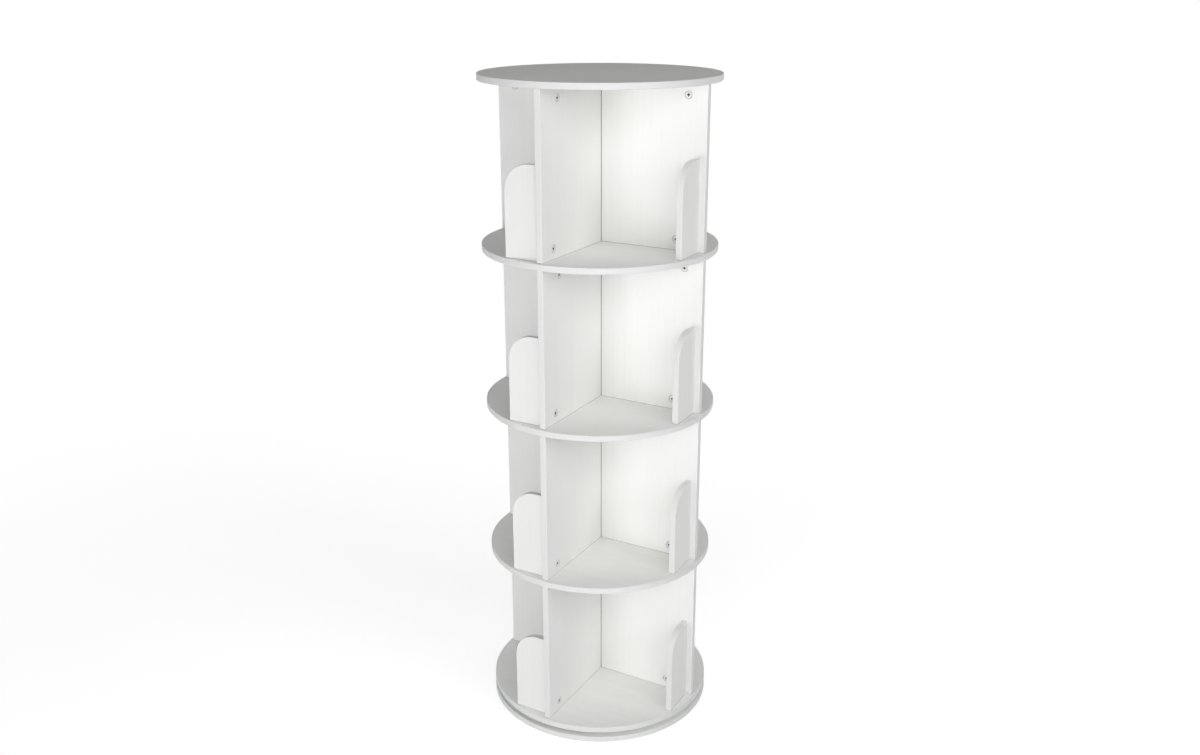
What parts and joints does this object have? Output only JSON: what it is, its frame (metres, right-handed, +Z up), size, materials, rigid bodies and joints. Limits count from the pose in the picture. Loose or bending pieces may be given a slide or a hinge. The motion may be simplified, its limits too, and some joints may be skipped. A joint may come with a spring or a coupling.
{
  "type": "revolving bookcase",
  "caption": "Floor-standing round bookcase of white board whose open tiers, each with crossed partitions and round-cornered fences, turn together on a ball-bearing base.",
  "frame": {"origin": "centre of the base board's underside, on the turning axis", "axes": "+Z up along the turning axis, +X along the wide partitions, -Y along the front half partitions"},
  "size_m": [0.45, 0.45, 1.282],
  "materials": {
    "white_board": "white melamine-faced board, satin, faint grain",
    "zinc": "die-cast zinc and zinc-plated steel",
    "race_steel": "pressed zinc-plated sheet",
    "ball_steel": "polished",
    "nylon": "moulded, matte",
    "beech": "raw wood"
  },
  "bodies": {
    "base": {"base_board": "white_board", "lower_race": "race_steel", "lower_race_screws": "zinc"},
    "ball_set": {"ball_cage": "nylon", "bearing_balls": "ball_steel"},
    "case": {"upper_race": "race_steel", "upper_race_screws": "zinc", "bottom_shelf": "white_board", "shelf_2": "white_board", "shelf_3": "white_board", "shelf_4": "white_board", "top_board": "white_board", "wide_partition_1": "white_board", "wide_partition_2": "white_board", "wide_partition_3": "white_board", "wide_partition_4": "white_board", "front_partition_1": "white_board", "front_partition_2": "white_board", "front_partition_3": "white_board", "front_partition_4": "white_board", "back_partition_1": "white_board", "back_partition_2": "white_board", "back_partition_3": "white_board", "back_partition_4": "white_board", "fence_right_1": "white_board", "fence_back_1": "white_board", "fence_left_1": "white_board", "fence_front_1": "white_board", "fence_right_2": "white_board", "fence_back_2": "white_board", "fence_left_2": "white_board", "fence_front_2": "white_board", "fence_right_3": "white_board", "fence_back_3": "white_board", "fence_left_3": "white_board", "fence_front_3": "white_board", "fence_right_4": "white_board", "fence_back_4": "white_board", "fence_left_4": "white_board", "fence_front_4": "white_board", "cam_locks": "zinc", "cam_bolts": "zinc", "shelf_dowels": "beech", "end_dowels": "beech", "cross_dowels": "beech", "fence_dowels": "beech", "fence_screws": "zinc"}
  },
  "joints": [
    {"name": "case_turn", "type": "hinge", "parent": "base", "child": "case", "pos_m": [0, 0, 0.017], "axis": [0, 0, 1], "continuous": true},
    {"name": "ball_set_turn", "type": "hinge", "parent": "base", "child": "ball_set", "pos_m": [0, 0, 0.017], "axis": [0, 0, 1], "continuous": true}
  ],
  "couplings": [
    {"joint": "ball_set_turn", "follows": "case_turn", "ratio": 0.5}
  ]
}
